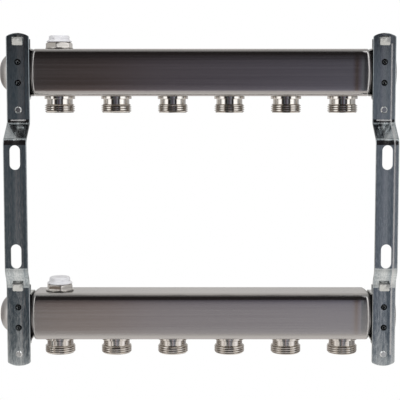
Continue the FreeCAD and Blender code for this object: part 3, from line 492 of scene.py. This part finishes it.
# Radius and height at each corner of neck, flange, seal groove and spigot, and of the mouth.
ABOVE = ((11.5, THREAD_TOP), (11.5, -2.7), (11.7, -2.5), (13.2, -2.5), (13.5, -2.2), (13.5, -0.3),
         (13.2, 0.0), (12.1, 0.0), (12.1, -0.8), (10.45, -0.8), (10.45, 6.7), (9.65, SPIGOT_TOP),
         (BORE, SPIGOT_TOP))
BELOW = ((11.6, THREAD_END), (9.8, THREAD_END), (9.6, THREAD_END + 0.3), (BORE, THREAD_END + 8.5))
print("thread pitch", round(PITCH, 3), "mm, depth", round(TOOTH_DEPTH, 2), "mm")

# %% Turned rings
def set_radius(vert, radius, height):
    """Move a point to a radius and a height on its own side of the axis."""
    flat = vert.co.xy.normalized() * radius
    vert.co = (flat.x, flat.y, height)


def carry_on(bm, ring, outline):
    """Extrude a ring of edges through the (radius, height) points of a turned outline."""
    for radius, height in outline:
        grown = bmesh.ops.extrude_edge_only(bm, edges=ring)["geom"]
        fresh = only(bmesh.types.BMVert, grown)
        for vert in fresh:
            set_radius(vert, radius, height)
        known = set(fresh)
        ring = [edge for edge in only(bmesh.types.BMEdge, grown) if known.issuperset(edge.verts)]
    return ring


print(len(ABOVE) + len(BELOW), "rings to turn on each outlet")

# %% Screw surface
SAME_POINT, CUT_REACH = 1e-4, 1e-5
# The spin starts below the thread and ends above it, so that both cuts go through whole teeth.
EXTRA_TURNS, START_BELOW = 2, 1.5 * PITCH


def screw_surface(bm, low, high):
    """Spin one tooth with a lift until the thread covers the given heights, then level both ends."""
    turns = math.ceil((high - low) / PITCH) + EXTRA_TURNS
    start = low - START_BELOW
    spots = [bm.verts.new((ROOT + depth * (CREST - ROOT), 0, start + along * PITCH))
             for along, depth in TOOTH]
    edges = [bm.edges.new(pair) for pair in zip(spots, spots[1:])]
    bmesh.ops.spin(bm, geom=spots + edges, cent=(0, 0, 0), axis=(0, 0, 1), dvec=(0, 0, PITCH / STEPS),
                   angle=2 * math.pi * turns, steps=STEPS * turns, use_merge=False, use_duplicate=False)
    bmesh.ops.remove_doubles(bm, verts=bm.verts, dist=SAME_POINT)
    rings = []
    for height, way in ((high, 1), (low, -1)):
        everything = bm.verts[:] + bm.edges[:] + bm.faces[:]
        cut = bmesh.ops.bisect_plane(bm, geom=everything, dist=CUT_REACH, plane_co=(0, 0, height),
                                     plane_no=(0, 0, way), clear_outer=True)
        rings.append(only(bmesh.types.BMEdge, cut["geom_cut"]))
    return rings


print("a tooth of", len(TOOTH), "points is spun in", STEPS, "steps a turn")

# %% Ends and grooves of the thread
# What lies deeper than the roots is neck or bore.
ROOT_MARGIN = 1.01


def taper_ends(bm):
    """Cut the crests down towards both ends of the thread, so that a nut finds its way on."""
    for vert in bm.verts:
        room = min(THREAD_TOP - vert.co.z, vert.co.z - THREAD_END)
        limit = CREST - max(0.0, LEAD - room)
        if vert.co.xy.length > limit:
            set_radius(vert, limit, vert.co.z)


def mark_grooves(bm):
    """Store how deep each point lies in the thread, 0 on the crests and 1 at the roots."""
    # The nickel material paints shade into the thread roots by this value.
    groove = bm.verts.layers.float.new("groove")
    for vert in bm.verts:
        deep = (CREST - vert.co.xy.length) / (CREST - ROOT)
        inside = THREAD_END < vert.co.z < THREAD_TOP and deep < ROOT_MARGIN
        vert[groove] = max(0.0, deep) if inside else 0.0


print(round((THREAD_TOP - THREAD_END) / PITCH, 1), "turns of thread on each outlet")

# %% Build the outlets
OUTLETS_PER_BAR, TURN_STEP = 6, 0.7


def make_outlet(node, turn):
    """Threaded nipple in the place of a plain solid."""
    bm = bmesh.new()
    top_ring, end_ring = screw_surface(bm, THREAD_END, THREAD_TOP)
    taper_ends(bm)
    inner_top = carry_on(bm, top_ring, ABOVE)
    inner_end = carry_on(bm, end_ring, BELOW)
    bmesh.ops.bridge_loops(bm, edges=inner_top + inner_end)
    bmesh.ops.recalc_face_normals(bm, faces=bm.faces)
    mark_grooves(bm)
    low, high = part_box(node)
    middle = (low + high) / 2
    seat = high.z - SPIGOT_TOP * MM
    bmesh.ops.transform(bm, verts=bm.verts, matrix=Matrix.Translation((middle.x, middle.y, seat))
                        @ Matrix.Rotation(turn, 4, "Z") @ Matrix.Scale(MM, 4))
    piece = stand_in(bm, node, node + "_threaded", nickel)
    return piece


outlets = []
for level in ("upper", "lower"):
    for number in range(1, OUTLETS_PER_BAR + 1):
        outlets.append(make_outlet(f"{level}_outlet_{number}", TURN_STEP * number))
print(len(outlets), "outlets cut,", len(outlets[0].data.polygons), "faces each")

# %% [markdown]
# ## Roots of the hooks
# Each clamp strap hooks through a slot near the end of its bracket. The sheet runs on a little above the hook
# behind the strip, so the notch over the hook looks dark. CAD ends the sheet level with the hook. Here a
# copy of the strap is cut along the plane of the strip's back, and the top of its root is drawn up. The
# faces that the extrusion leaves inside are deleted, so the strap stays one closed skin.

# %% Draw up the hook roots
ROOT_RISE = 2.0 * MM
STRIP_BACK = {"upper": 25.0 * MM, "lower": 10.0 * MM}
TOUCH = 0.01 * MM
MERGE = TOUCH / 10


def make_strap(node, back):
    """Copy of a clamp strap whose hook has a taller root behind the strip."""
    bm = bmesh.new()
    bm.from_mesh(nodes[node].data)
    bmesh.ops.transform(bm, verts=bm.verts, matrix=nodes[node].matrix_world)
    bmesh.ops.remove_doubles(bm, verts=bm.verts, dist=MERGE)
    everything = bm.verts[:] + bm.edges[:] + bm.faces[:]
    bmesh.ops.bisect_plane(bm, geom=everything, dist=MERGE, plane_co=(0, back, 0), plane_no=(0, 1, 0))
    top = max(vert.co.z for vert in bm.verts)
    middles = {face: face.calc_center_median() for face in bm.faces}
    root = [face for face, middle in middles.items() if middle.z > top - TOUCH and middle.y > back]
    grown = bmesh.ops.extrude_face_region(bm, geom=root)["geom"]
    bmesh.ops.translate(bm, verts=only(bmesh.types.BMVert, grown), vec=(0, 0, ROOT_RISE))
    bmesh.ops.delete(bm, geom=root, context="FACES_ONLY")
    bmesh.ops.recalc_face_normals(bm, faces=bm.faces)
    piece = stand_in(bm, node, node + "_rooted", strap_zinc)
    return piece


straps = []
for level, back in STRIP_BACK.items():
    for side in ("left", "right"):
        straps.append(make_strap(f"{level}_{side}_clamp_strap", back))
print(len(straps), "straps drawn up")

# %% [markdown]
# ## Light
# Polished metal shows the room more than itself, so the room is drawn as a map by direction. In front it is
# dark, with a dim gap round the camera. Tall white screens stand left and right of the camera, the sides are
# grey, the paper sweep glows behind and below, and a grey ceiling closes the top. Three rings of colours
# give the room at eye level, a little lower and higher up, written as they look in nickel, and the metal
# takes a third of the light, so the room itself is half as bright again.

# %% Rings of the room by compass direction, 0 in front and 90 on the right
EYE_RING = (
    (-180, "#b8b6b5"), (-140, "#bcbab8"), (-118, "#868482"), (-96, "#908e8c"), (-76, "#a4a2a0"),
    (-70, "#f2f2f2"), (-48, "#fcfcfc"), (-43, "#b4b2b0"), (-37, "#332f2d"), (-26, "#171413"),
    (-16, "#464b50"), (-9.6, "#484d52"), (-8.2, "#302928"), (-6, "#382f2e"), (-4.2, "#3d3332"),
    (-3.5, "#47424b"), (0, "#494550"), (3, "#504d59"), (7.5, "#595866"), (8.2, "#5c5c69"),
    (9.6, "#707379"), (16, "#707379"), (21, "#18171b"), (30, "#1c1b1f"), (33, "#3c3c40"),
    (36, "#c4c4c6"), (40, "#f8f8f8"), (66, "#ffffff"), (71, "#c0c0c0"), (78, "#a2a2a2"),
    (118, "#868686"), (180, "#b8b6b5"))
LOW_RING = (
    (-180, "#a8a4a0"), (-140, "#807a76"), (-118, "#6a6562"), (-98, "#6c6663"), (-84, "#7e7874"),
    (-74, "#bab6b2"), (-66, "#d2cfcc"), (-53, "#d0ccca"), (-46, "#6a625c"), (-36, "#544e4c"),
    (-16, "#464b4f"), (-9.6, "#494e52"), (-8.2, "#756a67"), (-4.2, "#7a6e6b"), (-3.5, "#807a80"),
    (0, "#807c82"), (5, "#838088"), (8.2, "#888690"), (9.6, "#5e636a"), (16, "#5e6269"),
    (28, "#5c5a5e"), (36, "#8c8a8c"), (44, "#c6c4c4"), (60, "#dcdada"), (70, "#dad8d8"),
    (82, "#928f8f"), (96, "#767474"), (118, "#6e6c6c"), (140, "#807c7c"), (180, "#a8a4a0"))
HIGH_RING = (
    (-180, "#b6b4b2"), (-120, "#8c8c8c"), (-96, "#969594"), (-76, "#a8a6a4"), (-70, "#f2f2f2"),
    (-48, "#fcfcfc"), (-41, "#8a8886"), (-34, "#1c1918"), (0, "#252222"), (29, "#1d1c1f"),
    (34, "#4a4a4c"), (40, "#f4f4f4"), (66, "#ffffff"), (74, "#b4b4b4"), (96, "#989898"),
    (120, "#8c8c8c"), (180, "#b6b4b2"))
print("rings of", len(EYE_RING), "and", len(LOW_RING), "and", len(HIGH_RING), "colours")

# %% Room around the object
ROOM_STRENGTH = 1.5
SWEEP, CEILING = "#a8a6a4", "#7a7978"
# Sines of the heights at which each layer starts to show and covers the one before it.
LOW_FADE, SWEEP_FADE, HIGH_FADE, CEILING_FADE = (-0.02, -0.12), (-0.36, -0.5), (0.005, 0.07), (0.94, 0.985)


def make_world():
    """Room by direction for everything but the camera, which sees plain white paper."""
    world = bpy.data.worlds.new("photo_room")
    bpy.context.scene.world = world
    world.use_nodes = True
    tree = world.node_tree
    tree.nodes.clear()
    way = add_node(tree, "SeparateXYZ", links={"Vector": add_node(tree, "TexCoord").outputs["Generated"]})
    ahead = add_node(tree, "Math", operation="MULTIPLY", links={0: way.outputs["Y"], 1: -1.0})
    turn = add_node(tree, "Math", operation="ARCTAN2", links={0: way.outputs["X"], 1: ahead.outputs["Value"]})
    compass = add_node(tree, "MapRange", links={
        "Value": turn.outputs["Value"], "From Min": -math.pi, "From Max": math.pi})
    rings = []
    for ring in (EYE_RING, LOW_RING, HIGH_RING):
        stops = [((degrees + 180) / 360, colour(code)) for degrees, code in ring]
        shades = add_node(tree, "ValToRGB", links={"Fac": compass.outputs["Result"]}, stops=stops)
        rings.append(shades.outputs["Color"])
    room, low, high = rings
    for (start, full), layer in ((LOW_FADE, low), (SWEEP_FADE, colour(SWEEP)),
                                 (HIGH_FADE, high), (CEILING_FADE, colour(CEILING))):
        share = add_node(tree, "MapRange", interpolation_type="SMOOTHSTEP", links={
            "Value": way.outputs["Z"], "From Min": start, "From Max": full})
        room = add_node(tree, "Mix", data_type="RGBA", links={
            "Factor": share.outputs["Result"], MIX_FIRST: room, MIX_SECOND: layer}).outputs[MIX_RESULT]
    lit = add_node(tree, "Background", links={"Color": room, "Strength": ROOM_STRENGTH})
    paper = add_node(tree, "Background", links={"Color": WHITE, "Strength": 1.0})
    ray = add_node(tree, "LightPath")
    choice = add_node(tree, "MixShader", links={
        0: ray.outputs["Is Camera Ray"], 1: lit.outputs["Background"], 2: paper.outputs["Background"]})
    add_node(tree, "OutputWorld", links={"Surface": choice.outputs["Shader"]})
    return world


print("drew", make_world().name)

# %% [markdown]
# ## Fill lamp
# The room is dark in front, which suits the metal but leaves the white knobs grey. A lamp that the metal can
# see would add a stripe to each bar, so this broad lamp over the camera is hidden from reflections.

# %% Fill lamp
FILL_PLACE, FILL_WIDTH, FILL_RADIANCE = (0.0, -1.3, 0.9), 1.4, 2.05


def add_fill():
    """Broad soft lamp over the camera, hidden from the metal, for the matt white knobs."""
    lamp = bpy.data.lights.new("fill", "AREA")
    lamp.size = FILL_WIDTH
    lamp.energy = FILL_RADIANCE * math.pi * FILL_WIDTH * FILL_WIDTH
    piece = place_in_scene("fill", lamp)
    piece.location = FILL_PLACE
    piece.rotation_euler = (-Vector(FILL_PLACE)).to_track_quat("-Z", "Y").to_euler()
    piece.visible_camera = False
    piece.visible_glossy = False
    return lamp


print("fill lamp of", round(add_fill().energy, 1), "watts hung")

# %% [markdown]
# ## Paper floor
# The manifold hangs over white paper. The camera sees that paper almost white, but a shadow still falls on
# it. In the metal the paper shows as it is lit: bright at its front edge, dimmer on the way in and bright
# again below the manifold, and a little warm. Light Path tells the two kinds of ray apart.

# %% Pale floor
FLOOR_HALF, FLOOR_MIDDLE, FLOOR_HEIGHT = 0.99, -0.2, -0.42
FRONT_EDGE = FLOOR_MIDDLE - FLOOR_HALF
FLOOR_LEVELS = ((0.0, 0.97), (0.43, 0.58), (0.85, 0.86))
FLOOR_TINT = (1.0, 0.965, 0.93)
PLAIN_WHITE_SHARE = 0.65


def make_paper():
    """White paper: nearly plain white to the camera, as it is lit to the metal, and matt to all else."""
    material = bpy.data.materials.new("white_paper")
    material.use_nodes = True
    tree = material.node_tree
    tree.nodes.clear()
    ray = add_node(tree, "LightPath")
    spot = add_node(tree, "SeparateXYZ", links={"Vector": add_node(tree, "TexCoord").outputs["Object"]})
    inward = add_node(tree, "MapRange", links={
        "Value": spot.outputs["Y"], "From Min": FRONT_EDGE, "From Max": 0.0})
    stops = [(place, (*(level * part for part in FLOOR_TINT), 1.0)) for place, level in FLOOR_LEVELS]
    mirrored = add_node(tree, "ValToRGB", links={"Fac": inward.outputs["Result"]}, stops=stops)
    shown = add_node(tree, "Mix", data_type="RGBA", links={
        "Factor": ray.outputs["Is Glossy Ray"], MIX_FIRST: WHITE, MIX_SECOND: mirrored.outputs["Color"]})
    paper = add_node(tree, "BsdfDiffuse", links={"Color": colour("#f4f4f2")})
    glow = add_node(tree, "Emission", links={"Color": shown.outputs[MIX_RESULT], "Strength": 1.0})
    seen = add_node(tree, "Math", operation="MULTIPLY_ADD", links={
        0: ray.outputs["Is Camera Ray"], 1: PLAIN_WHITE_SHARE, 2: ray.outputs["Is Glossy Ray"]})
    mixed = add_node(tree, "MixShader", links={
        0: seen.outputs["Value"], 1: paper.outputs["BSDF"], 2: glow.outputs["Emission"]})
    add_node(tree, "OutputMaterial", links={"Surface": mixed.outputs["Shader"]})
    return material


def make_floor():
    """Square of paper below the object."""
    bm = bmesh.new()
    bmesh.ops.create_grid(bm, x_segments=1, y_segments=1, size=FLOOR_HALF,
                          matrix=Matrix.Translation((0, FLOOR_MIDDLE, FLOOR_HEIGHT)))
    mesh = bpy.data.meshes.new("paper_floor")
    bm.to_mesh(mesh)
    bm.free()
    mesh.materials.append(make_paper())
    floor = place_in_scene("paper_floor", mesh)
    return floor


print("laid", make_floor().name)

# %% [markdown]
# ## Camera
# The photograph was taken from about a metre, a little above the middle of the manifold. The place and the
# lens come from fitting the edges of bars, brackets and slots, so no shift is needed.

# %% Camera
VIEW_DISTANCE, AIM_HEIGHT, ASIDE = 1.0, 0.00628, -0.001
LOOK_DOWN = math.radians(5.31)
LENS_PIXELS, FRAME_PIXELS, SENSOR_MM = 1170.8, 400, 36.0
camera_data = bpy.data.cameras.new("photo_camera")
camera_data.sensor_width = SENSOR_MM
camera_data.lens = SENSOR_MM * LENS_PIXELS / FRAME_PIXELS
camera = place_in_scene("photo_camera", camera_data)
camera.location = (ASIDE, -VIEW_DISTANCE * math.cos(LOOK_DOWN),
                   AIM_HEIGHT + VIEW_DISTANCE * math.sin(LOOK_DOWN))
camera.rotation_euler = (math.pi / 2 - LOOK_DOWN, 0, 0)
bpy.context.scene.camera = camera
bpy.context.scene.view_settings.view_transform = "Standard"
print("camera at", [round(value, 4) for value in camera.location])
